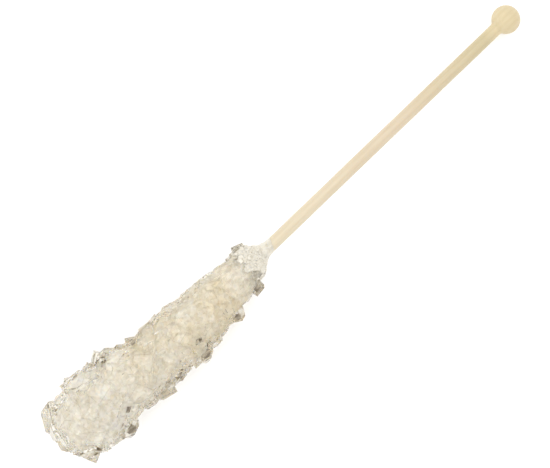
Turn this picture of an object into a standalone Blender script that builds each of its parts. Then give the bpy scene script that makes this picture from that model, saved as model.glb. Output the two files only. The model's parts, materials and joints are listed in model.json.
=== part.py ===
"""A rock candy stick lying on its side: a turned wooden stick with a ball at one end, and the
mass of sugar crystals that has grown round the other end.

Distances along the stick are counted from the ball's centre towards the sugar. Seen from above,
"side" distances are counted across the stick, positive towards +Y. Each solid is modelled in the
stick's own space, where the stick runs along -X, and the holder empty lays it on the table.
"""

import math
import random
from typing import NamedTuple

import bmesh
import bpy
from mathutils import Matrix, Vector

MM = 0.001

# The turned stick.
STICK_RADIUS = 1.75 * MM
BALL_RADIUS = 3.85 * MM
NECK_RADIUS = 1.1 * MM  # the hollow curve where the ball meets the stick
STICK_REACH = 155.0 * MM  # from the ball's centre to the end inside the sugar
STICK_SIDES = 24

# How the piece lies: on the ball and on the undersides of the widest crystals.
BALL_FLAT = 0.09 * MM  # how much the ball's underside is flattened
AXIS_HEIGHT = 10.0 * MM  # of the stick's axis, where the sugar is widest
WIDEST = 150.0 * MM
CRYSTAL_FLAT = 0.25 * MM  # the most that a crystal's underside is flattened

# The sugar. The core is the fused, fine-grained mass that the large crystals stand on.
SUGAR_START = 88.2 * MM
SUGAR_END = 163.4 * MM
DOME_START = 0.80  # where the rounded end begins, as a share of the sugar's length
# The crystals' outer reach, as (share of the sugar's length, radius).
OUTLINE = (
    (0.00, 2.40 * MM),
    (0.02, 2.6 * MM),
    (0.075, 5.0 * MM),
    (0.19, 5.7 * MM),
    (0.27, 7.2 * MM),
    (0.43, 8.5 * MM),
    (0.54, 8.1 * MM),
    (0.69, 9.2 * MM),
    (0.84, 10.2 * MM),
    (1.00, 10.3 * MM),
)
# How far the sugar's middle strays from the stick towards +Y, as (share, distance).
SWAY = (
    (0.00, 0.0 * MM),
    (0.03, 0.0 * MM),
    (0.08, 0.5 * MM),
    (0.16, -0.25 * MM),
    (0.39, -0.95 * MM),
    (0.55, -0.35 * MM),
    (0.71, 0.9 * MM),
    (1.00, 0.5 * MM),
)
COLLAR_SHARE = 0.075  # where the smooth collar ends and the crystals begin
CORE_DEPTH = 3.2 * MM  # how far the core lies under the crystals' reach, at the wide end
CORE_SIDES = 18
CORE_RINGS = 22
CORE_LUMP = 0.07  # the core's unevenness, as a share of its radius
CORE_END = 0.965  # the share of the sugar's length where the core's last ring lies
BORE_GAP = 0.3 * MM  # between the stick and the sugar
COLLAR_WALL = 0.35 * MM  # the sugar's thickness round the bore where it begins

# The crystals. They get larger towards the rounded end.
SMALL_CRYSTAL = 2.3 * MM
LARGE_CRYSTAL = 5.8 * MM
CRYSTAL_SPACING = 1.05  # the distance between neighbours, as a share of their size
GOLDEN_ANGLE = math.pi * (3 - math.sqrt(5))
SUGAR_BETA = math.radians(103)  # the slant of a sugar crystal's side faces
CUT_REACH = (0.66, 0.84)  # how far out a corner is cut off, as a share of its distance
FLATNESS = 0.85  # a listed crystal's height, as a share of its width
SIZE_SPREAD = (0.8, 1.2)  # the range of sizes that the rule draws from
LEAN_SPREAD = 0.55  # how far crystals lean over, in radians
SPIRAL_SPREAD = 0.2  # how far they stray from the spiral, in radians
FULL_SIZE_SHARE = 0.75  # the share of the sugar's length where they reach their full size
SEED = 7


class Crystal(NamedTuple):
    """One large crystal that shapes the outline, as seen from above. The rest follow a rule."""

    along: float  # mm from the ball's centre
    side: float  # mm from the stick's axis
    up: float  # mm above the stick's axis
    length: float  # mm
    width: float  # mm
    yaw: float  # degrees, from the stick's direction towards +Y


OUTER_CRYSTALS = (
    # The rounded end.
    Crystal(158.6, 6.0, 1.0, 9.0, 6.4, -61),
    Crystal(158.4, -1.6, 2.0, 4.8, 4.4, 12),
    Crystal(157.7, -5.6, 1.5, 6.0, 5.0, -25),
    Crystal(150.2, 8.1, 1.5, 6.2, 5.6, 38),
    # The side towards +Y.
    Crystal(141.9, 9.2, 0.5, 6.6, 3.0, -32),
    Crystal(138.2, 7.6, 2.5, 5.8, 4.4, 44),
    Crystal(123.0, 5.7, 1.5, 4.4, 2.6, 0),
    Crystal(106.7, 4.8, 1.5, 3.6, 3.2, 25),
    Crystal(94.2, 4.3, 0.5, 3.4, 3.0, 20),
    # The side towards -Y.
    Crystal(147.2, -8.6, 1.5, 5.4, 4.4, -21),
    Crystal(133.7, -7.5, 2.0, 5.8, 4.6, 13),
    Crystal(127.9, -7.8, 0.5, 3.4, 3.0, 35),
    Crystal(119.3, -8.0, 1.5, 5.6, 4.6, -32),
    Crystal(106.3, -6.1, 0.5, 4.8, 4.2, 30),
    Crystal(97.5, -4.8, 1.0, 3.6, 3.2, -8),
)


def clear_scene():
    """Removes whatever the scene holds."""
    for obj in list(bpy.data.objects):
        bpy.data.objects.remove(obj, do_unlink=True)


def material(name, colour, roughness, transmission=0.0):
    """A Principled material."""
    made = bpy.data.materials.new(name)
    made.use_nodes = True
    shader = made.node_tree.nodes["Principled BSDF"]
    shader.inputs["Base Color"].default_value = (*colour, 1.0)
    shader.inputs["Roughness"].default_value = roughness
    shader.inputs["Metallic"].default_value = 0.0
    shader.inputs["Transmission Weight"].default_value = transmission
    return made


def smooth_between(table, share):
    """The value at share in a table of (share, value) pairs, eased from each pair to the next."""
    for (low, start), (high, end) in zip(table, table[1:]):
        if share <= high:
            step = max(0.0, (share - low) / (high - low))
            return start + (end - start) * step * step * (3 - 2 * step)
    return table[-1][1]


def dome(share):
    """How far the rounded end draws the outline in, from 1 before it to 0 at the tip."""
    if share <= DOME_START:
        return 1.0
    return math.sqrt(max(0.0, 1 - ((share - DOME_START) / (1 - DOME_START)) ** 2.6))


def reach(share):
    """The radius that the crystals reach at this share of the sugar's length."""
    return smooth_between(OUTLINE, share) * dome(share)


def distance_at(share):
    """The distance from the ball's centre at this share of the sugar's length."""
    return SUGAR_START + share * (SUGAR_END - SUGAR_START)


def lying_frame():
    """How the stick's own space is laid on the table: turned so that the sugar end is raised."""
    ball_height = BALL_RADIUS - BALL_FLAT
    tilt = math.atan((AXIS_HEIGHT - ball_height) / WIDEST)
    return Matrix.Translation((0, 0, ball_height)) @ Matrix.Rotation(tilt, 4, "Y")


def skin(rings, name):
    """A closed mesh through rings of points, each end closed by a face."""
    mesh_builder = bmesh.new()
    loops = [[mesh_builder.verts.new(point) for point in ring] for ring in rings]
    for one, other in zip(loops, loops[1:]):
        count = len(one)
        for i in range(count):
            j = (i + 1) % count
            mesh_builder.faces.new((one[i], one[j], other[j], other[i]))
    mesh_builder.faces.new(loops[0])
    mesh_builder.faces.new(loops[-1])
    bmesh.ops.recalc_face_normals(mesh_builder, faces=mesh_builder.faces)
    mesh = bpy.data.meshes.new(name)
    mesh_builder.to_mesh(mesh)
    mesh_builder.free()
    return mesh


def ring(distance, radius, sides, lump=None, sway=0.0):
    """Points round the stick's axis. lump(distance, angle) scales the radius."""
    points = []
    for i in range(sides):
        angle = 2 * math.pi * i / sides
        out = radius * (lump(distance, angle) if lump else 1.0)
        points.append(Vector((-distance, sway + out * math.sin(angle), out * math.cos(angle))))
    return points


def stick_profile():
    """(distance, radius) pairs from the ball's far side, through the neck, to the buried end."""
    steps = 13
    # The neck is an arc of NECK_RADIUS that touches the ball and the stick.
    rise = STICK_RADIUS + NECK_RADIUS
    slant = BALL_RADIUS + NECK_RADIUS
    neck_centre = math.sqrt(slant**2 - rise**2)
    meeting = math.atan2(rise, neck_centre)  # from the stick's direction, at the ball's centre
    profile = []
    for i in range(1, steps + 1):
        turn = math.pi - (math.pi - meeting) * i / steps
        profile.append((BALL_RADIUS * math.cos(turn), BALL_RADIUS * math.sin(turn)))
    for i in range(1, 4):
        turn = meeting + (math.pi / 2 - meeting) * i / 3
        profile.append(
            (neck_centre - NECK_RADIUS * math.cos(turn), rise - NECK_RADIUS * math.sin(turn))
        )
    end_chamfer = 0.3 * MM
    profile.append((STICK_REACH - end_chamfer, STICK_RADIUS))
    profile.append((STICK_REACH, STICK_RADIUS - end_chamfer))
    return profile


def core_lump(distance, angle):
    """The core's uneven surface: a few waves round and along it that never line up."""
    along = distance / (6 * MM)
    wave = math.sin(3 * angle + 1.3 * along) + math.sin(5 * angle - 2.1 * along + 1.0)
    return 1 + CORE_LUMP * 0.5 * (wave + math.sin(along * 2.7 + 2 * angle))


def core_rings():
    """The sugar core: the collar's full reach, then deeper under the crystals."""
    rings = []
    for i in range(CORE_RINGS + 1):
        # Rings lie closer together at the collar and at the rounded end.
        share = 0.5 - 0.5 * math.cos(math.pi * i / CORE_RINGS)
        share = min(share, CORE_END)
        under = min(1.0, max(0.0, (share - COLLAR_SHARE) / (0.6 - COLLAR_SHARE)))
        depth = CORE_DEPTH * (0.12 + 0.88 * under)
        radius = (smooth_between(OUTLINE, share) - depth) * dome(share)
        least = STICK_RADIUS + BORE_GAP + COLLAR_WALL
        lump = core_lump if share > COLLAR_SHARE / 4 else None
        sway = smooth_between(SWAY, share)
        rings.append(ring(distance_at(share), max(radius, least), CORE_SIDES, lump, sway))
        if share == CORE_END:
            break
    return rings


def crystal_block(length, width, height, rng):
    """A sugar crystal about the origin: a slanted block, its long edges and its ends cut off
    obliquely. Returns a bmesh."""
    block = bmesh.new()
    bmesh.ops.create_cube(block, size=1.0)
    slant = math.cos(SUGAR_BETA) * -1
    for vert in block.verts:
        x, y, z = vert.co
        vert.co = Vector((x * length, (y + slant * z) * width, z * height))
    half = Vector((length, width, height)) / 2
    cuts = [
        Vector((0, -0.62, 0.78)),
        Vector((0, 0.62, -0.78)),
        Vector((0.74, rng.choice((-1, 1)) * 0.67, 0.1)),
        Vector((-0.74, rng.choice((-1, 1)) * 0.67, -0.1)),
    ]
    for direction in cuts:
        direction.normalize()
        corner = sum(abs(direction[k]) * half[k] for k in range(3))
        plane = direction * corner * rng.uniform(*CUT_REACH)
        geometry = block.verts[:] + block.edges[:] + block.faces[:]
        cut = bmesh.ops.bisect_plane(
            block, geom=geometry, plane_co=plane, plane_no=direction, clear_outer=True
        )
        edges = [e for e in cut["geom_cut"] if isinstance(e, bmesh.types.BMEdge)]
        if edges:
            bmesh.ops.edgeloop_fill(block, edges=edges)
    bmesh.ops.recalc_face_normals(block, faces=block.faces)
    return block


def outward_turn(outward, lean, roll):
    """A rotation that takes a crystal's long X axis to outward, leant over, and rolled."""
    upright = outward.to_track_quat("X", "Z").to_matrix().to_4x4()
    return upright @ Matrix.Rotation(lean, 4, "Y") @ Matrix.Rotation(roll, 4, "X")


def profile_steps(count=600):
    """(share, reach) pairs along the outline, close together."""
    return [(i / count, reach(i / count)) for i in range(count + 1)]


def spiral_crystals(rng):
    """Yields (bmesh, matrix) for the crystals that follow the rule: a golden-angle spiral over
    the outline, each about as far from its neighbours as it is large."""
    steps = profile_steps()
    covered, due, angle = 0.0, 0.0, 0.0
    for (share, radius), (next_share, next_radius) in zip(steps, steps[1:]):
        along = (next_share - share) * (SUGAR_END - SUGAR_START)
        covered += math.hypot(along, next_radius - radius)
        if share < COLLAR_SHARE or covered < due:
            continue
        growth = min(1.0, share / FULL_SIZE_SHARE)
        size = SMALL_CRYSTAL + (LARGE_CRYSTAL - SMALL_CRYSTAL) * growth
        size *= rng.uniform(*SIZE_SPREAD)
        spacing = size * CRYSTAL_SPACING
        due = covered + spacing**2 / (2 * math.pi * max(radius, 0.4 * size))
        angle += GOLDEN_ANGLE + rng.uniform(-SPIRAL_SPREAD, SPIRAL_SPREAD)
        normal = Vector((-(radius - next_radius), 0, along)).normalized()
        outward = Matrix.Rotation(-angle, 3, "X") @ normal
        inset = 0.52 * size + rng.uniform(0.0, 0.16) * size
        place = Matrix.Rotation(-angle, 3, "X") @ Vector((-distance_at(share), 0, radius))
        place += Vector((0, smooth_between(SWAY, share), 0)) - outward * inset
        turn = outward_turn(outward, rng.gauss(0, LEAN_SPREAD), rng.uniform(0, 2 * math.pi))
        length, width = size * rng.uniform(1.1, 1.5), size * rng.uniform(0.8, 1.0)
        block = crystal_block(length, width, size * rng.uniform(0.6, 0.9), rng)
        yield block, Matrix.Translation(place) @ turn


def outer_crystals(rng):
    """Yields (bmesh, matrix) for the crystals of the list."""
    for c in OUTER_CRYSTALS:
        place = Vector((-c.along, c.side, c.up)) * MM
        turn = Matrix.Rotation(math.radians(180 - c.yaw), 4, "Z")
        turn = turn @ Matrix.Rotation(rng.uniform(-0.3, 0.3), 4, "Y")
        turn = turn @ Matrix.Rotation(rng.uniform(-0.5, 0.5), 4, "X")
        block = crystal_block(c.length * MM, c.width * MM, FLATNESS * c.width * MM, rng)
        yield block, Matrix.Translation(place) @ turn


def settle(block, frame):
    """Lifts a crystal that reaches under the table, until only its flat is left below."""
    lowest = min((frame @ vert.co).z for vert in block.verts)
    if lowest < -CRYSTAL_FLAT:
        lift = frame.to_3x3().inverted() @ Vector((0, 0, -CRYSTAL_FLAT - lowest))
        bmesh.ops.translate(block, verts=block.verts, vec=lift)


def crystal_mesh(frame):
    """All the crystals as one mesh of closed blocks that grow into each other."""
    rng = random.Random(SEED)
    mesh = bpy.data.meshes.new("crystals")
    together = bmesh.new()
    for maker in (outer_crystals, spiral_crystals):
        for block, matrix in maker(rng):
            bmesh.ops.transform(block, matrix=matrix, verts=block.verts)
            settle(block, frame)
            block.to_mesh(mesh)
            together.from_mesh(mesh)
            block.free()
    together.to_mesh(mesh)
    together.free()
    return mesh


def add_object(name, mesh, holder, finish=None):
    """An object of this mesh in the holder's space."""
    obj = bpy.data.objects.new(name, mesh)
    bpy.context.scene.collection.objects.link(obj)
    obj.parent = holder
    if finish:
        mesh.materials.clear()
        mesh.materials.append(finish)
    return obj


def combine(obj, tool, operation, self_crossing=False):
    """Applies a Boolean of tool to obj and removes tool."""
    modifier = obj.modifiers.new(operation, "BOOLEAN")
    modifier.operation = operation
    modifier.object = tool
    modifier.use_self = self_crossing
    graph = bpy.context.evaluated_depsgraph_get()
    mesh = bpy.data.meshes.new_from_object(obj.evaluated_get(graph), depsgraph=graph)
    obj.modifiers.clear()
    obj.data = mesh
    bpy.data.objects.remove(tool, do_unlink=True)


def rest_on_table(mesh, frame):
    """Cuts a mesh flat where the table's top passes through it."""
    cutter = bmesh.new()
    cutter.from_mesh(mesh)
    table = frame.inverted()
    cut = bmesh.ops.bisect_plane(
        cutter,
        geom=cutter.verts[:] + cutter.edges[:] + cutter.faces[:],
        plane_co=table @ Vector((0, 0, 0)),
        plane_no=table.to_3x3() @ Vector((0, 0, 1)),
        clear_inner=True,
    )
    edges = [e for e in cut["geom_cut"] if isinstance(e, bmesh.types.BMEdge)]
    bmesh.ops.edgeloop_fill(cutter, edges=edges)
    bmesh.ops.recalc_face_normals(cutter, faces=cutter.faces)
    cutter.to_mesh(mesh)
    cutter.free()


def keep_outer_skin(mesh):
    """Removes the sealed hollows that are left where crystals lean together."""
    cleaner = bmesh.new()
    cleaner.from_mesh(mesh)
    unseen = set(cleaner.verts)
    shells = []
    while unseen:
        shell, front = set(), [unseen.pop()]
        while front:
            vert = front.pop()
            shell.add(vert)
            for edge in vert.link_edges:
                other = edge.other_vert(vert)
                if other in unseen:
                    unseen.discard(other)
                    front.append(other)
        shells.append(shell)
    shells.sort(key=len)
    for shell in shells[:-1]:
        bmesh.ops.delete(cleaner, geom=list(shell), context="VERTS")
    cleaner.to_mesh(mesh)
    cleaner.free()


def make_stick(holder, frame):
    """The turned stick with its ball."""
    mesh = skin([ring(d, r, STICK_SIDES) for d, r in stick_profile()], "wooden_stick")
    rest_on_table(mesh, frame)
    wood = material("birch_wood", (0.80, 0.66, 0.43), 0.55)
    obj = add_object("wooden_stick", mesh, holder, wood)
    mesh.shade_smooth()
    mesh.set_sharp_from_angle(angle=math.radians(40))
    return obj


def make_sugar(holder, frame):
    """The core and its crystals as one solid, bored for the stick."""
    obj = add_object("sugar_crystals", skin(core_rings(), "sugar_core"), holder)
    crystals = add_object("grown_crystals", crystal_mesh(frame), holder)
    combine(obj, crystals, "UNION", self_crossing=True)
    bore_end = STICK_REACH + BORE_GAP
    bore_radius = STICK_RADIUS + BORE_GAP
    bore_rings = [ring(d, bore_radius, STICK_SIDES) for d in (SUGAR_START - 5 * MM, bore_end)]
    combine(obj, add_object("bore", skin(bore_rings, "bore"), holder), "DIFFERENCE")
    keep_outer_skin(obj.data)
    rest_on_table(obj.data, frame)
    obj.data.materials.clear()
    obj.data.materials.append(material("sugar", (0.86, 0.82, 0.72), 0.2, 0.4))
    return obj


def centre_on_origin(holder, objects):
    """Moves the holder so that the origin is under the middle of the whole piece."""
    bpy.context.view_layer.update()
    points = [obj.matrix_world @ vert.co for obj in objects for vert in obj.data.vertices]
    for k in range(2):
        low, high = min(p[k] for p in points), max(p[k] for p in points)
        holder.location[k] -= (low + high) / 2


def main():
    """Builds the piece."""
    clear_scene()
    frame = lying_frame()
    holder = bpy.data.objects.new("holder", None)
    bpy.context.scene.collection.objects.link(holder)
    holder.matrix_world = frame
    parts = [make_stick(holder, frame), make_sugar(holder, frame)]
    centre_on_origin(holder, parts)


main()
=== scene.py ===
"""Dresses the rock candy stick: the turned birch stick, the fused milky core of sugar round its end,
and the crystals that stand on that core, from frosted grains at the collar to large clear blocks.

Distances along the stick are counted from the ball's centre towards the sugar. A share is a
place along the sugar: 0 at its collar and 1 at its rounded end.
"""

from __future__ import annotations

import itertools
import json
import logging
import math
import random
from dataclasses import dataclass, field
from enum import Enum
from typing import Any, Iterator

import bmesh
import bpy
import numpy as np
from mathutils import Matrix, Vector, noise

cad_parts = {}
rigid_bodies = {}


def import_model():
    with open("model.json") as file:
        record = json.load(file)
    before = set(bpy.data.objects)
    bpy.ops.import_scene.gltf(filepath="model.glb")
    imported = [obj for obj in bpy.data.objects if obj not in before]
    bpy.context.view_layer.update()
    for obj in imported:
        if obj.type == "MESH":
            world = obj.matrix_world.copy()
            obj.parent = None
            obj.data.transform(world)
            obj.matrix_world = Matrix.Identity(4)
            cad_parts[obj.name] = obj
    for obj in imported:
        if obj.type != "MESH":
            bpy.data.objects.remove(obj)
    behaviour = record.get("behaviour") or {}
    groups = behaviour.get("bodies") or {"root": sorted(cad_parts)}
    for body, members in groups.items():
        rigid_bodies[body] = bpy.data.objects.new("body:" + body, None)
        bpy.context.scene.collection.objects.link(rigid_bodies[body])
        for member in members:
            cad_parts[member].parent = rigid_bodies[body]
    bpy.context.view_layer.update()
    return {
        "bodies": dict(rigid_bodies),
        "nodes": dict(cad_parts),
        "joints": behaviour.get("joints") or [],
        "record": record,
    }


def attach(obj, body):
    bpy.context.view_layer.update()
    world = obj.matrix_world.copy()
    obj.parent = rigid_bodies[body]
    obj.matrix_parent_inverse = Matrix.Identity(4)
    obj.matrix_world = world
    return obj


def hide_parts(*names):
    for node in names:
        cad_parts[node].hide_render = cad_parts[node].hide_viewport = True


MM = 0.001
LOG = logging.getLogger("rock_candy_stick")
RGB = tuple[float, float, float]
Triple = tuple[float, float, float]
Range = tuple[float, float]
Pairs = tuple[tuple[float, float], ...]
Block = bmesh.types.BMesh
# A crystal about the origin, its place in the stick's own space, and its size.
Placed = tuple[Block, Matrix, float]


def clamped(value: float) -> float:
    """The value, held within 0 to 1."""
    return min(1.0, max(0.0, value))


def eased(table: Pairs, share: float) -> float:
    """Reads a table of (share, value) pairs, eased from each pair to the next.

    Args:
        table: the pairs, in order of share.
        share: where to read it.

    Returns:
        The value there.
    """
    for (low, start), (high, end) in zip(table, table[1:]):
        if share <= high:
            step = max(0.0, (share - low) / (high - low))
            return start + (end - start) * step * step * (3 - 2 * step)
    return table[-1][1]


@dataclass(frozen=True)
class Lie:
    """How the piece lies on the table: on its ball, the sugar end a little raised."""

    ball_x: float
    ball_y: float
    ball_radius: float = 3.85 * MM
    ball_flat: float = 0.09 * MM
    axis_height: float = 10.0 * MM
    widest: float = 150.0 * MM

    def frame(self) -> Matrix:
        """Places the stick's own space, with the stick along -X, in the table's space.

        Returns:
            The matrix from the one to the other.
        """
        height = self.ball_radius - self.ball_flat
        tilt = math.atan((self.axis_height - height) / self.widest)
        place = Matrix.Translation((self.ball_x, self.ball_y, height))
        return place @ Matrix.Rotation(tilt, 4, "Y")


@dataclass(frozen=True)
class SugarForm:
    """The reach of the sugar round the stick, which the core and the crystals share."""

    start: float = 88.2 * MM
    end: float = 163.4 * MM
    dome_start: float = 0.80
    dome_power: float = 2.6
    collar_share: float = 0.075
    outline: Pairs = (
        (0.00, 2.40 * MM),
        (0.02, 2.6 * MM),
        (0.075, 5.0 * MM),
        (0.19, 5.7 * MM),
        (0.27, 7.2 * MM),
        (0.43, 8.5 * MM),
        (0.54, 8.1 * MM),
        (0.69, 9.2 * MM),
        (0.84, 10.2 * MM),
        (1.00, 10.3 * MM),
    )
    sway: Pairs = (
        (0.00, 0.0 * MM),
        (0.03, 0.0 * MM),
        (0.08, 0.5 * MM),
        (0.16, -0.25 * MM),
        (0.39, -0.95 * MM),
        (0.55, -0.35 * MM),
        (0.71, 0.9 * MM),
        (1.00, 0.5 * MM),
    )
    warmth: Pairs = ((0.0, 0.0), (0.06, 0.0), (0.25, 1.0), (0.5, 0.8), (0.8, 0.0), (1.0, 0.0))
    slant: float = 0.8 * MM
    slant_fades: float = 0.08

    def distance(self, share: float) -> float:
        """The distance from the ball's centre at this share."""
        return self.start + share * (self.end - self.start)

    def slanted(self, share: float, angle: float) -> float:
        """The distance at this share, for a collar that reaches further down the stick on one side.

        Args:
            share: the place along the sugar.
            angle: round the stick, from the top towards +Y.

        Returns:
            The distance from the ball's centre.
        """
        fade = math.exp(-max(0.0, share) / self.slant_fades)
        return self.distance(share) - self.slant * math.sin(angle) * fade

    def nearness(self, spot: Vector) -> float:
        """How much of the wood's colour shows through the sugar over it.

        Args:
            spot: a point of the sugar, in the stick's own space.

        Returns:
            From 0, none, to 1.
        """
        return eased(self.warmth, (-spot.x - self.start) / (self.end - self.start))

    def dome(self, share: float) -> float:
        """How far the rounded end draws the outline in.

        Args:
            share: the place along the sugar.

        Returns:
            From 1, before the rounded end, to 0 at the tip.
        """
        if share <= self.dome_start:
            return 1.0
        over = (share - self.dome_start) / (1 - self.dome_start)
        return math.sqrt(max(0.0, 1 - over**self.dome_power))

    def reach(self, share: float) -> float:
        """The radius that the crystals reach at this share."""
        return eased(self.outline, share) * self.dome(share)

    def lean(self, share: float) -> float:
        """How far the sugar's middle strays from the stick towards +Y at this share."""
        return eased(self.sway, share)


@dataclass(frozen=True)
class CrystalSeed:
    """One large crystal that shapes the outline, placed as seen from above, in mm and degrees."""

    along: float
    side: float
    up: float
    length: float
    width: float
    yaw: float


OUTER_SEEDS = (
    CrystalSeed(158.6, 6.0, 1.0, 9.0, 6.4, -61),
    CrystalSeed(158.4, -1.6, 2.0, 4.8, 4.4, 12),
    CrystalSeed(157.7, -5.6, 1.5, 6.0, 5.0, -25),
    CrystalSeed(150.2, 8.1, 1.5, 6.2, 5.6, 38),
    CrystalSeed(141.9, 9.2, 0.5, 6.6, 3.0, -32),
    CrystalSeed(138.2, 7.6, 2.5, 5.8, 4.4, 44),
    CrystalSeed(123.0, 5.7, 1.5, 4.4, 2.6, 0),
    CrystalSeed(106.7, 4.8, 1.5, 3.6, 3.2, 25),
    CrystalSeed(94.2, 4.3, 0.5, 3.4, 3.0, 20),
    CrystalSeed(147.2, -8.6, 1.5, 5.4, 4.4, -21),
    CrystalSeed(133.7, -7.5, 2.0, 5.8, 4.6, 13),
    CrystalSeed(127.9, -7.8, 0.5, 3.4, 3.0, 35),
    CrystalSeed(119.3, -8.0, 1.5, 5.6, 4.6, -32),
    CrystalSeed(106.3, -6.1, 0.5, 4.8, 4.2, 30),
    CrystalSeed(97.5, -4.8, 1.0, 3.6, 3.2, -8),
)


class Clarity(Enum):
    """How a crystal's face lets light through, by its number among the crystals' finishes; the two edge
    finishes are painted shade.
    """

    CLEAR = 0
    HAZY = 1
    LARGE = 2
    # painted shade: dark-tinted finishes for the bevels, painting dark outlines
    EDGE = 3
    LARGE_EDGE = 4


@dataclass(frozen=True)
class CrystalHabit:
    """The form that sugar grows in: a slanted block whose edges and ends are cut obliquely."""

    beta: float = math.radians(103)
    edge_cut: Triple = (0.0, 0.62, -0.78)
    end_cut: Triple = (0.74, 0.67, 0.1)
    cut_reach: Range = (0.66, 0.84)

    def block(self, length: float, width: float, height: float, rng: random.Random) -> Block:
        """Makes one crystal about the origin, its long way along X.

        Args:
            length: its size along X.
            width: its size along Y.
            height: its size along Z.
            rng: draws how deep each corner is cut.

        Returns:
            A bmesh of one closed block, which the caller frees.
        """
        block = bmesh.new()
        bmesh.ops.create_cube(block, size=1.0)
        slant = -math.cos(self.beta)
        for vert in block.verts:
            x, y, z = vert.co
            vert.co = Vector((x * length, (y + slant * z) * width, z * height))
        half = Vector((length, width, height)) / 2
        edge = Vector(self.edge_cut)
        end_x, end_y, end_z = self.end_cut
        cuts = [
            -edge,
            edge,
            Vector((end_x, rng.choice((-1, 1)) * end_y, end_z)),
            Vector((-end_x, rng.choice((-1, 1)) * end_y, -end_z)),
        ]
        for direction in cuts:
            direction.normalize()
            corner = sum(abs(direction[k]) * half[k] for k in range(3))
            plane = direction * corner * rng.uniform(*self.cut_reach)
            self.slice(block, plane, direction)
        bmesh.ops.recalc_face_normals(block, faces=block.faces)
        return block

    def slice(self, block: Block, point: Vector, outward: Vector) -> None:
        """Cuts away what lies beyond a plane and closes the cut.

        Args:
            block: the crystal.
            point: a point of the plane.
            outward: the plane's normal, towards what is cut away.
        """
        geometry = block.verts[:] + block.edges[:] + block.faces[:]
        cut = bmesh.ops.bisect_plane(block, geom=geometry, plane_co=point, plane_no=outward, clear_outer=True)
        edges = [e for e in cut["geom_cut"] if isinstance(e, bmesh.types.BMEdge)]
        if edges:
            bmesh.ops.edgeloop_fill(block, edges=edges)


@dataclass(frozen=True)
class Spiral:
    """A rule for crystals: a golden-angle spiral over the outline, spaced by their size."""

    first: float
    small: float
    large: float
    full_share: float
    spacing: float
    inset: Range
    turn: float = math.pi * (3 - math.sqrt(5))
    turn_spread: float = 0.2
    size_spread: Range = (0.8, 1.2)
    least_radius: float = 0.4
    steps: int = 600

    def places(self, form: SugarForm, rng: random.Random) -> Iterator[tuple[float, Vector, Vector]]:
        """Walks the spiral from the collar to the tip.

        Args:
            form: the outline that the crystals stand on.
            rng: draws sizes and angles.

        Yields:
            The crystal's size, its middle and the way it points.
        """
        table = [(i / self.steps, form.reach(i / self.steps)) for i in range(self.steps + 1)]
        covered, due, angle = 0.0, 0.0, 0.0
        for (share, radius), (next_share, next_radius) in zip(table, table[1:]):
            along = (next_share - share) * (form.end - form.start)
            covered += math.hypot(along, next_radius - radius)
            if share < self.first or covered < due:
                continue
            size = self.small + (self.large - self.small) * min(1.0, share / self.full_share)
            size *= rng.uniform(*self.size_spread)
            spacing = size * self.spacing
            due = covered + spacing**2 / (2 * math.pi * max(radius, self.least_radius * size))
            angle += self.turn + rng.uniform(-self.turn_spread, self.turn_spread)
            normal = Vector((-(radius - next_radius), 0, along)).normalized()
            around = Matrix.Rotation(-angle, 3, "X")
            outward = around @ normal
            depth = self.inset[0] * size + rng.uniform(0.0, self.inset[1]) * size
            place = around @ Vector((-form.distance(share), 0, radius))
            place += Vector((0, form.lean(share), 0)) - outward * depth
            yield size, place, outward


def in_scene(name: str, data: bpy.types.ID) -> bpy.types.Object:
    """Puts an object in the scene.

    Args:
        name: its name.
        data: its mesh, light or camera.

    Returns:
        The object.
    """
    made = bpy.data.objects.new(name, data)
    bpy.context.scene.collection.objects.link(made)
    return made


def mesh_object(name: str, mesh: bpy.types.Mesh, *materials: bpy.types.Material) -> bpy.types.Object:
    """Puts a mesh in the scene.

    Args:
        name: the piece's name.
        mesh: its mesh, in the table's space.
        materials: its finishes, which its faces choose from by number.

    Returns:
        The object.
    """
    for material in materials:
        mesh.materials.append(material)
    return in_scene(name, mesh)


def skinned(rings: list[list[Vector]], frame: Matrix) -> Block:
    """Skins a closed body over rings of points.

    Args:
        rings: the rings, each with the same count of points, in the stick's own space.
        frame: the stick's own space.

    Returns:
        A bmesh, its vertices in the rings' order, which the caller frees.
    """
    made = bmesh.new()
    loops = [[made.verts.new(frame @ point) for point in ring] for ring in rings]
    for one, other in zip(loops, loops[1:]):
        for i in range(len(one)):
            j = (i + 1) % len(one)
            made.faces.new((one[i], one[j], other[j], other[i]))
    made.faces.new(loops[0])
    made.faces.new(loops[-1])
    bmesh.ops.recalc_face_normals(made, faces=made.faces)
    return made


def as_mesh(block: Block, name: str) -> bpy.types.Mesh:
    """Turns a bmesh into a mesh and frees it.

    Args:
        block: the bmesh.
        name: the mesh's name.

    Returns:
        The mesh.
    """
    mesh = bpy.data.meshes.new(name)
    block.to_mesh(mesh)
    block.free()
    return mesh


def pour(block: Block, together: Block) -> None:
    """Adds a bmesh to another and frees it.

    Args:
        block: what is added.
        together: what it is added to.
    """
    scrap = as_mesh(block, "scrap")
    together.from_mesh(scrap)
    bpy.data.meshes.remove(scrap)


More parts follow.
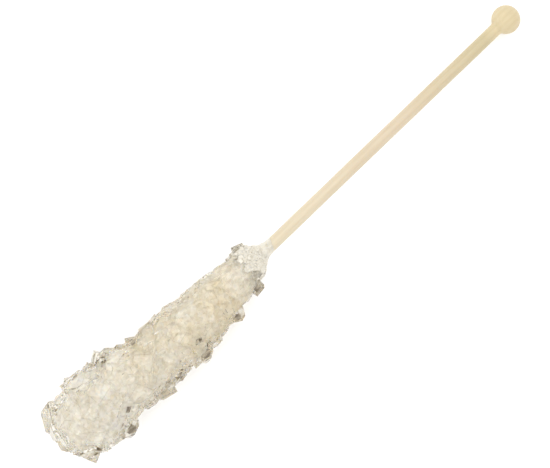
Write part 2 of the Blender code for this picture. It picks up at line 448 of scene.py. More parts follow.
class Shader:
    """A material with one Principled shader, and short calls for the nodes that feed it."""

    def __init__(self, name: str) -> None:
        """Starts an empty graph.

        Args:
            name: the material's name.
        """
        self.material = bpy.data.materials.new(name)
        self.material.use_nodes = True
        self.tree = self.material.node_tree
        self.principled = self.tree.nodes["Principled BSDF"]

    def add(self, kind: str, **inputs: Any) -> bpy.types.Node:
        """Adds a node.

        Args:
            kind: its type, without the ShaderNode before it.
            inputs: node properties, or sockets by name with spaces as underscores. A socket is
                set to a value or linked from another socket.

        Returns:
            The node.
        """
        node = self.tree.nodes.new("ShaderNode" + kind)
        for key, value in inputs.items():
            if hasattr(node, key):
                setattr(node, key, value)
            else:
                self.feed(node, key.replace("_", " "), value)
        return node

    def feed(self, node: bpy.types.Node, socket: str | int, value: Any) -> None:
        """Sets or links one input.

        Args:
            node: the node.
            socket: the input's name or number.
            value: a value, or the output that drives it.
        """
        if isinstance(value, bpy.types.NodeSocket):
            self.tree.links.new(value, node.inputs[socket])
        else:
            node.inputs[socket].default_value = value

    def math(self, operation: str, *values: Any, kind: str = "Math") -> bpy.types.NodeSocket:
        """Adds a node that works a sum out.

        Args:
            operation: the sum.
            values: what it is worked out from, as values or outputs.
            kind: the node's type.

        Returns:
            The result.
        """
        node = self.add(kind, operation=operation)
        for i, value in enumerate(values):
            self.feed(node, i, value)
        return node.outputs[0]

    def vector(self, operation: str, *values: Any) -> bpy.types.NodeSocket:
        """A Vector Math node's result."""
        return self.math(operation, *values, kind="VectorMath")

    def ramp(self, factor: bpy.types.NodeSocket, *stops: tuple[float, RGB]) -> bpy.types.NodeSocket:
        """Maps a factor to colours.

        Args:
            factor: from 0 to 1.
            stops: (position, colour) pairs.

        Returns:
            The colour output.
        """
        node = self.tree.nodes.new("ShaderNodeValToRGB")
        elements = node.color_ramp.elements
        while len(elements) < len(stops):
            elements.new(0.5)
        for element, (position, colour) in zip(elements, stops):
            element.position = position
            element.color = (*colour, 1.0)
        self.tree.links.new(factor, node.inputs[0])
        return node.outputs["Color"]

    def between(self, factor: Any, low: Any, high: Any) -> bpy.types.NodeSocket:
        """Maps a factor from 0..1 to low..high."""
        return self.add("MapRange", clamp=True, Value=factor, To_Min=low, To_Max=high).outputs[0]

    def mix(self, factor: Any, one: Any, other: Any) -> bpy.types.NodeSocket:
        """Mixes two colours.

        Args:
            factor: how much of the other.
            one: a colour or an output.
            other: a colour or an output.

        Returns:
            The mixed colour.
        """
        node = self.add("Mix", data_type="RGBA")
        self.feed(node, 0, factor)
        self.feed(node, 6, one)
        self.feed(node, 7, other)
        return node.outputs[2]

    def set(self, **sockets: Any) -> None:
        """Sets or links the Principled shader's sockets, named with underscores for spaces."""
        for key, value in sockets.items():
            self.feed(self.principled, key.replace("_", " "), value)


@dataclass(frozen=True)
class Birch:
    """Bare sanded birch: pale, faintly streaked along the stick."""

    pale: RGB = (0.59, 0.52, 0.385)
    deep: RGB = (0.51, 0.43, 0.295)
    ball: RGB = (0.95, 0.91, 0.78)
    neck: RGB = (0.81, 0.79, 0.66)
    middle: RGB = (0.94, 0.90, 0.89)
    end: RGB = (1.0, 1.0, 1.0)
    tint_stops: tuple[float, ...] = (0.045, 0.08, 0.4, 0.85)
    pore: RGB = (0.55, 0.38, 0.20)
    pore_limit: float = 0.66
    pore_depth: float = 0.16
    fibre_weight: float = 0.6
    ring_weight: float = 0.13
    broad_weight: float = 0.35
    roughness: float = 0.5

    def material(self) -> bpy.types.Material:
        """Builds the finish in the stick's own coordinates, kept in the attribute own_place.

        Returns:
            The material.
        """
        s = Shader("birch")
        place = s.add("Attribute", attribute_name="own_place").outputs["Vector"]
        stretched = s.vector("MULTIPLY", place, (0.05, 1.0, 1.0))
        fibres = s.add("TexNoise", Vector=stretched, Scale=2.6, Detail=5.0, Roughness=0.6)
        rings = s.add(
            "TexWave", wave_type="BANDS", bands_direction="Y", Vector=stretched, Scale=0.22,
            Distortion=3.0, Detail=2.0, Detail_Scale=1.2,
        )
        broad = s.add("TexNoise", Vector=place, Scale=0.045, Detail=2.0)
        tone = s.math("MULTIPLY", fibres.outputs[0], self.fibre_weight)
        tone = s.math("ADD", tone, s.math("MULTIPLY", rings.outputs[1], self.ring_weight))
        tone = s.math("ADD", tone, s.math("MULTIPLY", broad.outputs[0], self.broad_weight))
        colour = s.ramp(tone, (0.35, self.pale), (0.85, self.deep))
        pores = s.add("TexNoise", Vector=s.vector("MULTIPLY", place, (0.12, 1.0, 1.0)), Scale=7.0, Detail=3.0)
        flecks = s.between(s.math("GREATER_THAN", pores.outputs[0], self.pore_limit), 0.0, self.pore_depth)
        colour = s.mix(flecks, colour, (*self.pore, 1.0))
        distance = s.math("MULTIPLY", s.add("SeparateXYZ", Vector=place).outputs["X"], -0.01)
        tints = (self.ball, self.neck, self.middle, self.end)
        colour = s.vector("MULTIPLY", colour, s.ramp(distance, *zip(self.tint_stops, tints)))
        bump = s.add("Bump", Strength=0.22, Distance=0.00012, Height=fibres.outputs[0])
        s.set(
            Base_Color=colour, Normal=bump.outputs[0], Subsurface_Weight=0.12,
            Roughness=s.between(fibres.outputs[0], self.roughness - 0.06, self.roughness + 0.12),
            Subsurface_Radius=(0.8, 0.5, 0.25), Subsurface_Scale=MM,
        )
        return s.material


@dataclass(frozen=True)
class MilkySugar:
    """Fused sugar: fine grains grown together, warm where the wood is near and dull where it lies bare."""

    name: str = "milky_sugar"
    white: RGB = (0.94, 0.922, 0.87)
    cream: RGB = (0.86, 0.826, 0.75)
    warm: RGB = (0.85, 0.782, 0.636)
    bare: RGB = (0.63, 0.595, 0.515)
    grain: float = 1.3
    facets: float = 0.9
    depth: float = 0.3 * MM

    def material(self) -> bpy.types.Material:
        """Builds the finish: facets from the cells of a Voronoi texture tilt the surface.

        Returns:
            The material.
        """
        s = Shader(self.name)
        place = s.add("Attribute", attribute_name="own_place").outputs["Vector"]
        patches = s.add("TexNoise", Vector=place, Scale=0.28, Detail=3.0, Roughness=0.55)
        cells = s.add("TexVoronoi", feature="F1", Vector=place, Scale=self.grain)
        cell_tone = s.vector("SUBTRACT", cells.outputs["Color"], (0.5, 0.5, 0.5))
        tilt = s.vector("MULTIPLY", cell_tone, (self.facets,) * 3)
        normal = s.vector("NORMALIZE", s.vector("ADD", s.add("NewGeometry").outputs["Normal"], tilt))
        tone = s.ramp(patches.outputs[0], (0.32, self.white), (0.62, self.cream))
        near = s.add("Attribute", attribute_name="near_wood").outputs["Fac"]
        broad = s.add("TexNoise", Vector=place, Scale=0.11, Detail=1.0)
        warmth = s.math("MULTIPLY", near, s.between(s.between(broad.outputs[0], -1.0, 2.0), 0.1, 0.9))
        colour = s.mix(warmth, tone, (*self.warm, 1.0))
        covered = s.add("Attribute", attribute_name="covered").outputs["Fac"]
        colour = s.mix(covered, (*self.bare, 1.0), colour)
        s.set(
            Base_Color=colour, Roughness=0.34, IOR=1.54, Normal=normal, Subsurface_Weight=1.0,
            Subsurface_Radius=(1.2, 1.1, 0.9), Subsurface_Scale=self.depth,
        )
        return s.material


@dataclass(frozen=True)
class ClearSugar:
    """Clear crystal with faintly frosted patches."""

    name: str
    tint: RGB = (0.91, 0.89, 0.845)
    smooth: float = 0.0
    frost: float = 0.08
    ior: float = 1.5

    def material(self) -> bpy.types.Material:
        """Builds the finish from the UV map, which runs in mm along each crystal's own length.

        Returns:
            The material.
        """
        s = Shader(self.name)
        place = s.add("UVMap", uv_map="UVMap").outputs["UV"]
        patches = s.add("TexNoise", Vector=place, Scale=0.7, Detail=4.0, Roughness=0.6)
        frosted = s.ramp(patches.outputs[0], (0.48, (0, 0, 0)), (0.72, (1, 1, 1)))
        frost = s.between(frosted, self.smooth, self.frost)
        s.set(Base_Color=(*self.tint, 1.0), Roughness=frost, IOR=self.ior, Transmission_Weight=1.0)
        return s.material


CRYSTAL_FINISHES = {
    Clarity.CLEAR: ClearSugar("clear_sugar"),
    Clarity.HAZY: ClearSugar("hazy_sugar", smooth=0.08, frost=0.2),
    Clarity.LARGE: ClearSugar("large_sugar", tint=(0.84, 0.81, 0.74), frost=0.03, ior=1.54),
    # Painted shade: the edge finishes' dark tints paint the dark outlines round clear crystals.
    Clarity.EDGE: ClearSugar("painted_dark_edge_sugar", tint=(0.62, 0.58, 0.5)),
    Clarity.LARGE_EDGE: ClearSugar("large_painted_dark_edge_sugar", tint=(0.38, 0.34, 0.27), frost=0.03, ior=1.54),
}


@dataclass(frozen=True)
class PaintedShadeSheet:
    """Painted shade: a flat sheet inside a crystal, painted dark for the dark facets that clear sugar shows,
    paler in streaks.
    """

    # painted shade: the sheet's dark tone
    dark: RGB = (0.17, 0.13, 0.085)
    pale: RGB = (0.62, 0.56, 0.45)
    roughness: float = 0.35

    def material(self) -> bpy.types.Material:
        """Builds the finish.

        Returns:
            The material.
        """
        s = Shader("painted_shade_sheet")
        place = s.add("Attribute", attribute_name="own_place").outputs["Vector"]
        stretched = s.vector("MULTIPLY", place, (0.35, 1.0, 1.0))
        streaks = s.add("TexNoise", Vector=stretched, Scale=1.0, Detail=3.0)
        colour = s.ramp(streaks.outputs[0], (0.42, self.dark), (0.6, self.pale))
        s.set(Base_Color=colour, Roughness=self.roughness)
        return s.material


@dataclass(frozen=True)
class Matt:
    """An even matt finish for what stands round the piece."""

    name: str
    colour: RGB
    roughness: float = 0.9
    glow: float = 0.0

    def material(self) -> bpy.types.Material:
        """Builds the finish.

        Returns:
            The material.
        """
        s = Shader(self.name)
        s.set(
            Base_Color=(*self.colour, 1.0), Roughness=self.roughness, Specular_IOR_Level=0.2,
            Emission_Color=(1.0, 1.0, 1.0, 1.0), Emission_Strength=self.glow,
        )
        return s.material


def keep_values(mesh: bpy.types.Mesh, name: str, values: Any) -> None:
    """Keeps a number or a place, in mm, for each point.

    Args:
        mesh: the mesh.
        name: what the finishes read it as.
        values: one for each vertex.
    """
    rows = np.array(values, dtype=np.float32)
    kind, slot = ("FLOAT_VECTOR", "vector") if rows.ndim == 2 else ("FLOAT", "value")
    mesh.attributes.new(name, kind, "POINT").data.foreach_set(slot, rows.ravel())


def above_table(mesh: bpy.types.Mesh, clearance: float = 0.0) -> None:
    """Flattens what would reach under the table.

    Args:
        mesh: the mesh, in the table's space.
        clearance: the least height.
    """
    for vert in mesh.vertices:
        vert.co.z = max(vert.co.z, clearance)


@dataclass
class TurnedStick:
    """The birch stick, turned in one piece with its ball."""

    lie: Lie
    radius: float = 1.75 * MM
    neck: float = 1.1 * MM
    reach: float = 155.0 * MM
    sides: int = 72
    ball_steps: int = 48
    neck_steps: int = 12
    shaft_rings: int = 120
    end_round: float = 0.3 * MM
    wander: float = 0.035 * MM
    broad_wander: float = 9 * MM
    fine_wander: float = 2.4 * MM
    fine_share: float = 0.5
    sharp_from: float = math.radians(50)

    def profile(self) -> list[tuple[float, float]]:
        """The turned outline.

        Returns:
            (distance, radius) pairs from the ball's far side to the buried end.
        """
        ball = self.lie.ball_radius
        rise = self.radius + self.neck
        neck_centre = math.sqrt((ball + self.neck) ** 2 - rise**2)
        meeting = math.atan2(rise, neck_centre)
        outline = []
        for i in range(1, self.ball_steps + 1):
            turn = math.pi - (math.pi - meeting) * i / self.ball_steps
            outline.append((ball * math.cos(turn), ball * math.sin(turn)))
        for i in range(1, self.neck_steps + 1):
            turn = meeting + (math.pi / 2 - meeting) * i / self.neck_steps
            outline.append((neck_centre - self.neck * math.cos(turn), rise - self.neck * math.sin(turn)))
        start = outline[-1][0]
        for i in range(1, self.shaft_rings):
            outline.append((start + (self.reach - start) * i / self.shaft_rings, self.radius))
        outline.append((self.reach, self.radius - self.end_round))
        return outline

    def point(self, distance: float, radius: float, angle: float) -> Vector:
        """A point of the surface, with the slight unevenness of sanded wood.

        Args:
            distance: along the stick.
            radius: from its axis.
            angle: round it, from the top towards +Y.

        Returns:
            The point in the stick's own space.
        """
        spot = Vector((-distance, radius * math.sin(angle), radius * math.cos(angle)))
        rough = noise.noise(spot / self.broad_wander) + self.fine_share * noise.noise(spot / self.fine_wander)
        return spot + Vector((0, math.sin(angle), math.cos(angle))) * rough * self.wander

    def build(self) -> bpy.types.Object:
        """Makes the stick.

        Returns:
            The piece, in place of the CAD stick.
        """
        rings = []
        for distance, radius in self.profile():
            turns = (2 * math.pi * i / self.sides for i in range(self.sides))
            rings.append([self.point(distance, radius, turn) for turn in turns])
        places = [spot / MM for ring in rings for spot in ring]
        mesh = as_mesh(skinned(rings, self.lie.frame()), "turned_stick")
        above_table(mesh)
        keep_values(mesh, "own_place", places)
        mesh.shade_smooth()
        mesh.set_sharp_from_angle(angle=self.sharp_from)
        piece = mesh_object("turned_stick", mesh, Birch().material())
        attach(piece, "root")
        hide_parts("wooden_stick")
        return piece


@dataclass
class SugarCore:
    """The fused mass of fine sugar round the stick, out to where the crystals stand on it."""

    form: SugarForm
    lie: Lie
    depth: float = 1.8 * MM
    wall: float = 0.14 * MM
    stick_radius: float = 1.75 * MM
    around: int = 168
    along: int = 300
    last_share: float = 0.975
    bare_until: float = 0.11
    bare_wander: float = 0.05
    bare_fades: float = 0.05
    feather: float = 0.022
    crowding: float = 0.86
    shallow: float = 0.12
    deep_from: float = 0.6
    rough_from: float = 0.05
    film_until: float = 0.02
    least_film: float = 0.2
    clearance: float = 0.02 * MM
    swells: Pairs = ((5.0, 0.9), (2.0, 0.5))
    grains: Pairs = ((0.9, 0.32), (0.45, 0.08))
    swell_shift: Triple = (9.0, 2.0, 5.0)
    swell_shares: Range = (0.25, 0.45)
    grain_share: float = 0.8

    def radius(self, share: float, angle: float) -> float:
        """The core's radius, with its swells and its grain.

        Args:
            share: the place along the sugar.
            angle: round the stick, from the top towards +Y.

        Returns:
            The radius from the sugar's own middle.
        """
        under = clamped((share - self.form.collar_share) / (self.deep_from - self.form.collar_share))
        sunk = self.depth * (self.shallow + (1 - self.shallow) * under)
        smooth = (eased(self.form.outline, share) - sunk) * self.form.dome(share)
        distance = self.form.slanted(share, angle)
        spot = Vector((distance, smooth * math.sin(angle), smooth * math.cos(angle))) / MM
        (broad, high), (fine, low) = self.swells
        swell = noise.noise(spot / broad) * high + noise.noise(spot / fine + Vector(self.swell_shift)) * low
        (cell, high), (dust, low) = self.grains
        cells = noise.voronoi(spot / cell)[0]
        grain = (cells[1] - cells[0]) * high + noise.noise(spot / dust) * low
        at_collar, more = self.swell_shares
        rough = swell * (at_collar + more * under) + grain * self.grain_share
        radius = smooth + rough * clamped(share / self.rough_from) * MM
        grown = (share + self.feather) / self.feather * (1 - self.least_film) + self.least_film
        film = self.stick_radius + self.wall * min(1.0, grown)
        return max(film, film + (radius - film) * clamped(share / self.film_until))

    def spot(self, share: float, angle: float, lift: float = 0.0) -> Vector:
        """A point of the core's surface, in the stick's own space.

        Args:
            share: the place along the sugar.
            angle: round the stick.
            lift: how far above the surface.

        Returns:
            The point.
        """
        radius = self.radius(share, angle) + lift
        across = self.form.lean(share) + radius * math.sin(angle)
        return Vector((-self.form.slanted(share, angle), across, radius * math.cos(angle)))

    def bare_edge(self, angle: float) -> float:
        """The share up to which the core lies bare, which wanders round the stick."""
        wander = noise.noise((math.sin(angle) * 2, math.cos(angle) * 2, 4.0))
        return self.bare_until + self.bare_wander * wander

    def covered(self, share: float, angle: float) -> float:
        """How far clear crystal lies over the core, from 0 at the bare collar to 1."""
        return clamped(0.5 + (share - self.bare_edge(angle)) / self.bare_fades)

    def build(self) -> bpy.types.Object:
        """Makes the core.

        Returns:
            The piece, which stands for the CAD sugar together with the crystals.
        """
        rings, covered = [], []
        angles = [2 * math.pi * j / self.around for j in range(self.around)]
        for i in range(self.along):
            turn = math.pi / 2 * (i / (self.along - 1)) ** self.crowding
            share = self.last_share * math.sin(turn) - self.feather
            rings.append([self.spot(share, angle) for angle in angles])
            covered += [self.covered(share, angle) for angle in angles]
        places = [spot / MM for ring in rings for spot in ring]
        near = [self.form.nearness(spot) for ring in rings for spot in ring]
        mesh = as_mesh(skinned(rings, self.lie.frame()), "sugar_core")
        above_table(mesh, self.clearance)
        keep_values(mesh, "own_place", places)
        keep_values(mesh, "near_wood", near)
        keep_values(mesh, "covered", covered)
        mesh.shade_smooth()
        piece = mesh_object("sugar_core", mesh, MilkySugar().material())
        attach(piece, "root")
        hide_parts("sugar_crystals")
        return piece


@dataclass
class CrystalCluster:
    """The crystals on the core: large blocks, smaller ones between them, and the ice they grow from."""

    form: SugarForm
    lie: Lie
    core: SugarCore
    habit: CrystalHabit = field(default_factory=CrystalHabit)
    seed: int = 7
    filling_seed: int = 8
    shade_sheet_seed: int = 9
    finish_seed: int = 107
    flat: float = 0.25 * MM
    ice: float = 0.75 * MM
    sunk: float = -0.25 * MM
    ice_rings: int = 120
    ice_sides: int = 64
    ice_start: float = 0.04
    ice_fades: float = 0.07
    ice_cap: Pairs = ((0.8, 0.9 * MM), (0.4, 1.3 * MM))
    bevel: float = 0.018
    outer_bevel: float = 0.03
    bevel_spread: Range = (0.7, 1.4)
    least_edge: float = 0.004 * MM
    clear_share: float = 0.6
    bevelled_from: float = 1.7 * MM
    # painted shade: the dark sheets inside the crystals
    shade_sheet_from: float = 3.0 * MM
    shade_sheet_scale: Range = (0.36, 0.56)
    shade_sheet_depth: float = 0.28
    shade_sheet_thickness: float = 0.12 * MM
    shade_sheet_shift: float = 0.1
    shade_sheet_clearance: float = 0.3 * MM
    facet_size: float = 1.7 * MM
    facet_slope: float = 0.3
    facet_scatter: float = 90.0
    stepped_from: float = 2.6 * MM
    stepped_faces: int = 4
    stepped_share: float = 0.55
    step_inset: Range = (0.05, 0.14)
    step_height: Range = (0.01, 0.028)
    layout_shift: float = 7.3
    least_across: float = 0.3
    outer_lean: float = 0.3
    outer_roll: float = 0.5
    outer_flatness: float = 0.85
    lean_spread: float = 0.55
    sides: tuple[Range, ...] = ((1.1, 1.5), (0.8, 1.0), (0.6, 0.9))
    table_reach: Triple = (0.2, 0.1, 5 * MM)

    main_rule: Spiral = Spiral(
        first=0.075, small=2.3 * MM, large=5.8 * MM, full_share=0.75, spacing=1.05, inset=(0.52, 0.16)
    )
    filling_rule: Spiral = Spiral(
        first=0.09, small=1.3 * MM, large=2.9 * MM, full_share=0.8, spacing=0.95, inset=(0.42, 0.4)
    )

    def large(self, rng: random.Random) -> Iterator[Placed]:
        """The crystals that the solid model has too, in the same order and from the same draws.

        Args:
            rng: the crystals' own draws.

        Yields:
            A block about the origin, its place in the stick's own space, and its size.
        """
        for c in OUTER_SEEDS:
            place = Vector((-c.along, c.side, c.up)) * MM
            turn = Matrix.Rotation(math.radians(180 - c.yaw), 4, "Z")
            turn = turn @ Matrix.Rotation(rng.uniform(-self.outer_lean, self.outer_lean), 4, "Y")
            turn = turn @ Matrix.Rotation(rng.uniform(-self.outer_roll, self.outer_roll), 4, "X")
            block = self.habit.block(c.length * MM, c.width * MM, self.outer_flatness * c.width * MM, rng)
            yield block, Matrix.Translation(place) @ turn, c.width * MM
        yield from self.by_rule(self.main_rule, rng)

    def by_rule(self, rule: Spiral, rng: random.Random) -> Iterator[Placed]:
        """Crystals along one spiral.

        Args:
            rule: the spiral.
            rng: the draws.

        Yields:
            A block about the origin, its place in the stick's own space, and its size.
        """
        for size, place, outward in rule.places(self.form, rng):
            turn = outward.to_track_quat("X", "Z").to_matrix().to_4x4()
            turn = turn @ Matrix.Rotation(rng.gauss(0, self.lean_spread), 4, "Y")
            turn = turn @ Matrix.Rotation(rng.uniform(0, 2 * math.pi), 4, "X")
            block = self.habit.block(*[size * rng.uniform(*spread) for spread in self.sides], rng)
            yield block, Matrix.Translation(place) @ turn, size

    def settle(self, block: Block, frame: Matrix) -> None:
        """Lifts a crystal that reaches too far under the table, until only its flat is below.

        Args:
            block: the crystal, in the stick's own space.
            frame: the stick's own space.
        """
        lowest = min((frame @ vert.co).z for vert in block.verts)
        if lowest < -self.flat:
            lift = frame.to_3x3().inverted() @ Vector((0, 0, -self.flat - lowest))
            bmesh.ops.translate(block, verts=block.verts, vec=lift)

    def terraces(self, block: Block, size: float, rng: random.Random) -> None:
        """Raises low steps on some of a crystal's larger faces.

        Args:
            block: the crystal about the origin.
            size: its size.
            rng: the draws.
        """
        for face in sorted(block.faces, key=lambda f: -f.calc_area())[: self.stepped_faces]:
            if rng.random() < self.stepped_share:
                inset, height = size * rng.uniform(*self.step_inset), size * rng.uniform(*self.step_height)
                bmesh.ops.inset_individual(block, faces=[face], thickness=inset, depth=height)

    def map_faces(self, block: Block, shift: float) -> None:
        """Lays each face out flat in the UV map, in mm along the crystal's own length.

        Args:
            block: the crystal about the origin.
            shift: moves the layout, so that no two crystals have the same.
        """
        layer = block.loops.layers.uv.verify()
        for face in block.faces:
            across = face.normal.cross(Vector((1, 0, 0)))
            if across.length < self.least_across:
                across = face.normal.cross(Vector((0, 1, 0)))
            across.normalize()
            along = across.cross(face.normal)
            for loop in face.loops:
                place = loop.vert.co / MM
                loop[layer].uv = (place.dot(along) + shift, place.dot(across) + 3 * shift)

    def dressed(self, block: Block, size: float, number: int, rng: random.Random) -> None:
        """Steps one crystal's faces, softens its edges, lays it out and picks its finish, with painted shade
        on its bevels.

        Args:
            block: the crystal about the origin.
            size: its size.
            number: its number, counted from the outer crystals on.
            rng: the draws.
        """
        outer = number < len(OUTER_SEEDS)
        if size > self.stepped_from:
            self.terraces(block, size, rng)
        edges = []
        if size > self.bevelled_from:
            width = size * (self.outer_bevel if outer else self.bevel) * rng.uniform(*self.bevel_spread)
            edges = bmesh.ops.bevel(
                block, geom=block.edges[:], offset=width, segments=1, profile=0.6, affect="EDGES",
                clamp_overlap=True,
            )["faces"]
        block.normal_update()
        self.map_faces(block, number * self.layout_shift)
        kind = Clarity.CLEAR if rng.random() < self.clear_share else Clarity.HAZY
        if outer:
            kind = Clarity.LARGE
        for face in block.faces:
            face.material_index = kind.value
        # painted shade: the bevel faces take a dark edge finish, for dark outlines
        for face in edges:
            face.material_index = (Clarity.LARGE_EDGE if outer else Clarity.EDGE).value
        bmesh.ops.dissolve_degenerate(block, dist=self.least_edge, edges=block.edges[:])

    def joined(self, blocks: Iterator[Placed]) -> bpy.types.Mesh:
        """Joins the crystals and the clear layer into one mesh of triangles, not yet fused.

        Args:
            blocks: the crystals.

        Returns:
            The mesh in the table's space.
        """
        frame = self.lie.frame()
        rng = random.Random(self.finish_seed)
        together = bmesh.new()
        for number, (block, matrix, size) in enumerate(blocks):
            self.dressed(block, size, number, rng)
            bmesh.ops.transform(block, matrix=matrix, verts=block.verts)
            self.settle(block, frame)
            bmesh.ops.recalc_face_normals(block, faces=block.faces)
            bmesh.ops.transform(block, matrix=frame, verts=block.verts)
            pour(block, together)
        pour(self.ice_body(frame), together)
        bmesh.ops.triangulate(together, faces=together.faces[:])
        return as_mesh(together, "crystal_blocks")

    def ice_body(self, frame: Matrix) -> Block:
        """Makes the clear sugar that fills the gaps: a layer that comes up through the core's surface
        past the bare collar and closes over the core's end.

        Args:
            frame: the stick's own space.

        Returns:
            A bmesh in the table's space.
        """
        turns = [2 * math.pi * j / self.ice_sides for j in range(self.ice_sides)]
        rings = []
        first, last = self.ice_start, self.core.last_share
        for i in range(self.ice_rings):
            share = first + (last - first) * math.sin(math.pi / 2 * i / (self.ice_rings - 1))
            rings.append([self.core.spot(share, turn, self.ice_lift(share, turn)) for turn in turns])
        closing = [self.core.spot(last, turn, self.ice) for turn in turns]
        middle = sum(closing, Vector()) / len(closing)
        for shrink, beyond in self.ice_cap:
            rings.append([middle + (spot - middle) * shrink + Vector((-beyond, 0, 0)) for spot in closing])
        body = skinned(rings, frame)
        layer = body.loops.layers.uv.verify()
        for face in body.faces:
            for loop in face.loops:
                place = loop.vert.co / MM
                loop[layer].uv = (place.x, place.y + place.z)
        return body

    def ice_lift(self, share: float, angle: float) -> float:
        """How far the clear layer lies over the core: under its surface up to the collar's edge.

        Args:
            share: the place along the sugar.
            angle: round the stick.

        Returns:
            The height over the core's surface.
        """
        rise = self.ice - self.sunk
        past = (share - self.core.bare_edge(angle)) / self.ice_fades
        spot = self.core.spot(share, angle)
        centre = noise.voronoi(spot / self.facet_size)[1][0]
        slope = noise.cell_vector(centre * self.facet_scatter) * 2 - Vector((1, 1, 1))
        facet = (spot - centre * self.facet_size).dot(slope) * self.facet_slope
        return min(self.ice, max(self.sunk, rise * past)) + facet * clamped(past)

    def shade_sheets(self) -> bpy.types.Object:
        """Makes the flat sheets of painted shade, which look dark from above: one inside each outer crystal
        and one inside some of the other large ones, more of them at the sides.

        Returns:
            The piece.
        """
        frame = self.lie.frame()
        rng, shade_sheet_rng = random.Random(self.seed), random.Random(self.shade_sheet_seed)
        together = bmesh.new()
        for number, (block, matrix, size) in enumerate(self.large(rng)):
            # Painted shade sheets: each outer crystal gets one, other large ones more often towards the
            # sides.
            aside, up = abs(matrix.translation.y), abs(matrix.translation.z)
            chance = (aside / (aside + up)) ** 2
            if number >= len(OUTER_SEEDS) and (size < self.shade_sheet_from or shade_sheet_rng.random() > chance):
                block.free()
                continue
            bmesh.ops.transform(block, matrix=matrix, verts=block.verts)
            self.settle(block, frame)
            block.normal_update()
            top = max(block.faces, key=lambda face: face.normal.z * face.calc_area())
            middle = top.calc_center_median()
            inside = middle - top.normal * size * self.shade_sheet_depth
            inside.y += math.copysign(size * self.shade_sheet_shift, middle.y)
            scale = shade_sheet_rng.uniform(*self.shade_sheet_scale)
            upper = [inside + (vert.co - middle) * scale for vert in top.verts]
            lower = [spot - top.normal * self.shade_sheet_thickness for spot in upper]
            pour(skinned([upper, lower], frame), together)
            block.free()
        mesh = as_mesh(together, "painted_shade_sheets")
        above_table(mesh, self.shade_sheet_clearance)
        keep_values(mesh, "own_place", [vert.co / MM for vert in mesh.vertices])
        piece = mesh_object("painted_shade_sheets", mesh, PaintedShadeSheet().material())
        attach(piece, "root")
        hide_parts("sugar_crystals")
        return piece

    def fused(self, piece: bpy.types.Object) -> None:
        """Grows a piece's crystals into one body, flat where it meets the table.

        Args:
            piece: the crystals, which this changes.
        """
        length, width, depth = self.table_reach
        points = [(x, y, z) for x in (-length, length) for y in (-width, width) for z in (-depth, 0.0)]
        faces = [(0, 1, 3, 2), (4, 6, 7, 5), (0, 4, 5, 1), (2, 3, 7, 6), (0, 2, 6, 4), (1, 5, 7, 3)]
        mesh = bpy.data.meshes.new("table_cutter")
        mesh.from_pydata(points, [], faces)
        cutter = in_scene("table_cutter", mesh)
        modifier = piece.modifiers.new("fused", "BOOLEAN")
        modifier.operation = "DIFFERENCE"
        modifier.object = cutter
        modifier.use_self = True
        graph = bpy.context.evaluated_depsgraph_get()
        solid = bpy.data.meshes.new_from_object(piece.evaluated_get(graph), depsgraph=graph)
        piece.modifiers.clear()
        piece.data = solid
        bpy.data.objects.remove(cutter, do_unlink=True)

    def build(self) -> bpy.types.Object:
        """Makes the crystals.

        Returns:
            The piece.
        """
        rng, filling_rng = random.Random(self.seed), random.Random(self.filling_seed)
        blocks = itertools.chain(self.large(rng), self.by_rule(self.filling_rule, filling_rng))
        finishes = [CRYSTAL_FINISHES[kind].material() for kind in Clarity]
        piece = mesh_object("crystal_blocks", self.joined(blocks), *finishes)
        self.fused(piece)
        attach(piece, "root")
        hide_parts("sugar_crystals")
        return piece


@dataclass
class FineGrains:
    """Small frosted grains, half sunk in the bare collar."""

    form: SugarForm
    lie: Lie
    core: SugarCore
    habit: CrystalHabit = field(default_factory=CrystalHabit)
    count: int = 600
    kinds: int = 12
    seed: int = 23
    first: float = 0.02
    crowding: float = 0.7
    least_size: float = 0.3
    growth: float = 6.0
    size_spread: Range = (0.65, 1.35)
    sunk: Range = (-0.4, -0.12)
    sides: tuple[Range, ...] = ((0.9, 1.3), (0.75, 1.0), (0.6, 0.9))

    def templates(self, rng: random.Random) -> list[tuple[np.ndarray, list[tuple[int, ...]]]]:
        """Makes a few grains of unit size.

        Args:
            rng: the draws.

        Returns:
            Each grain's vertices and faces.
        """
        made = []
        for _ in range(self.kinds):
            block = self.habit.block(*[rng.uniform(*spread) for spread in self.sides], rng)
            block.verts.index_update()
            corners = np.array([vert.co[:] for vert in block.verts])
            made.append((corners, [tuple(vert.index for vert in face.verts) for face in block.faces]))
            block.free()
        return made

    def build(self) -> bpy.types.Object:
        """Makes the grains.

        Returns:
            The piece.
        """
        rng = random.Random(self.seed)
        kinds = self.templates(rng)
        frame = self.lie.frame()
        points: list[np.ndarray] = []
        faces: list[tuple[int, ...]] = []
        offset = 0
        for _ in range(self.count):
            angle = rng.uniform(0, 2 * math.pi)
            share = self.first + (self.core.bare_edge(angle) - self.first) * rng.random() ** self.crowding
            size = (self.least_size + self.growth * share) * rng.uniform(*self.size_spread) * MM
            spot = self.core.spot(share, angle, rng.uniform(*self.sunk) * size)
            drawn = Matrix([[rng.gauss(0, 1) for _ in range(3)] for _ in range(3)])
            turn = drawn.to_quaternion().normalized().to_matrix()
            corners, sides = kinds[rng.randrange(self.kinds)]
            local = corners @ np.array(turn).T * size + np.array(spot)
            world = local @ np.array(frame.to_3x3()).T + np.array(frame.translation)
            world[:, 2] = np.maximum(world[:, 2], 0.0)
            points.append(world)
            faces.extend(tuple(i + offset for i in side) for side in sides)
            offset += len(corners)
        together = np.concatenate(points)
        mesh = bpy.data.meshes.new("fine_grains")
        mesh.from_pydata(together.tolist(), [], faces)
        mesh.update()
        keep_values(mesh, "own_place", together / MM)
        finish = MilkySugar("frosted_sugar", grain=0.6, facets=0.2, depth=0.0)
        piece = mesh_object("fine_grains", mesh, finish.material())
        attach(piece, "root")
        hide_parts("sugar_crystals")
        return piece


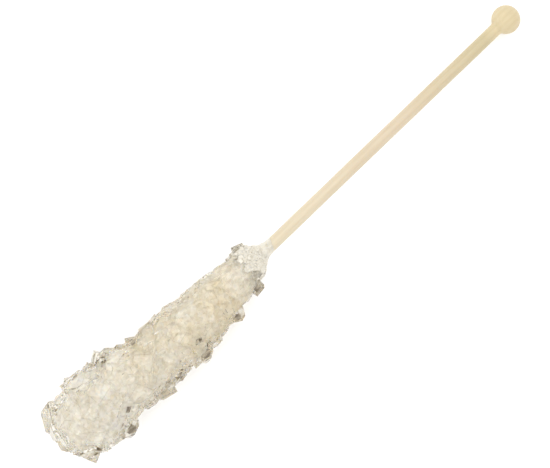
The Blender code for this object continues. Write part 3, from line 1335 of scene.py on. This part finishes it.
@dataclass
class Studio:
    """The white table, the dark flag round it, the soft light and the camera above."""

    lie: Lie
    aim_distance: float = 84.05 * MM
    aim_side: float = 1.4 * MM
    view_width: float = 145.8 * MM
    camera_height: float = 0.60
    sensor: float = 36.0
    turn: float = 43.84
    floor_size: float = 6.0
    floor_colour: RGB = (0.85, 0.85, 0.85)
    floor_glow: float = 0.12
    flag_radius: float = 2.0
    flag_height: float = 0.9
    flag_sides: int = 48
    flag_colour: RGB = (0.05, 0.038, 0.022)
    key_place: Triple = (-0.1, 0.75, 0.95)
    key_size: float = 0.7
    key_power: float = 2.3
    world_strength: float = 1.44
    clear_bounces: int = 56
    glossy_bounces: int = 24
    diffuse_bounces: int = 16

    def camera(self) -> None:
        """Makes the camera, looking straight down, the ball up and to the right."""
        data = bpy.data.cameras.new("camera")
        data.sensor_width = self.sensor
        aim = self.lie.frame() @ Vector((-self.aim_distance, self.aim_side, 0))
        data.lens = self.sensor * (self.camera_height - aim.z) / self.view_width
        data.clip_start, data.clip_end = 0.01, 20.0
        camera = in_scene("camera", data)
        camera.location = (aim.x, aim.y, self.camera_height)
        camera.rotation_euler = (0, 0, -math.radians(self.turn))
        bpy.context.scene.camera = camera

    def floor(self) -> None:
        """Makes the table's top, a white sheet that glows faintly."""
        half = self.floor_size / 2
        corners = [(-half, -half, 0), (half, -half, 0), (half, half, 0), (-half, half, 0)]
        mesh = bpy.data.meshes.new("floor")
        mesh.from_pydata(corners, [], [(0, 1, 2, 3)])
        finish = Matt("white_floor", self.floor_colour, glow=self.floor_glow)
        floor = mesh_object("floor", mesh, finish.material())

    def flag(self) -> None:
        """Makes a dark wall round the piece that only reflections and refractions show."""
        count = 2 * self.flag_sides
        points, faces = [], []
        for i in range(self.flag_sides):
            angle = 2 * math.pi * i / self.flag_sides
            x, y = self.flag_radius * math.cos(angle), self.flag_radius * math.sin(angle)
            points += [(x, y, 0.0), (x, y, self.flag_height)]
            faces.append((2 * i, 2 * i + 1, (2 * i + 3) % count, (2 * i + 2) % count))
        mesh = bpy.data.meshes.new("low_flag")
        mesh.from_pydata(points, [], faces)
        flag = mesh_object("low_flag", mesh, Matt("low_flag", self.flag_colour).material())
        flag.visible_camera = False
        flag.visible_diffuse = False
        flag.visible_shadow = False

    def key(self) -> None:
        """Makes the soft square light, which faces the piece."""
        data = bpy.data.lights.new("key", "AREA")
        data.shape = "SQUARE"
        data.size = self.key_size
        data.energy = self.key_power
        light = in_scene("key", data)
        light.location = self.key_place
        light.rotation_euler = (-Vector(self.key_place)).to_track_quat("-Z", "Y").to_euler()

    def build(self) -> None:
        """Sets the stage."""
        scene = bpy.context.scene
        scene.view_settings.view_transform = "Standard"
        scene.cycles.blur_glossy = 0.0
        scene.cycles.max_bounces = self.clear_bounces
        scene.cycles.transmission_bounces = self.clear_bounces
        scene.cycles.glossy_bounces = self.glossy_bounces
        scene.cycles.diffuse_bounces = self.diffuse_bounces
        world = bpy.data.worlds.new("studio")
        world.use_nodes = True
        background = world.node_tree.nodes["Background"]
        background.inputs["Color"].default_value = (1.0, 1.0, 1.0, 1.0)
        background.inputs["Strength"].default_value = self.world_strength
        scene.world = world
        self.floor()
        self.flag()
        self.key()
        self.camera()


def main() -> None:
    """Builds the piece and its stage."""
    logging.basicConfig(level=logging.INFO, format="%(message)s")
    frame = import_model()
    rest = frame["record"]["mounts"][0]["pos_m"]
    lie = Lie(rest[0], rest[1])
    form = SugarForm()
    core = SugarCore(form, lie)
    cluster = CrystalCluster(form, lie, core)
    grains = FineGrains(form, lie, core)
    for build in (TurnedStick(lie).build, core.build, cluster.build, cluster.shade_sheets, grains.build):
        piece = build()
        LOG.info("%s: %d faces", piece.name, len(piece.data.polygons))
    Studio(lie).build()


if __name__ == "__main__":
    main()
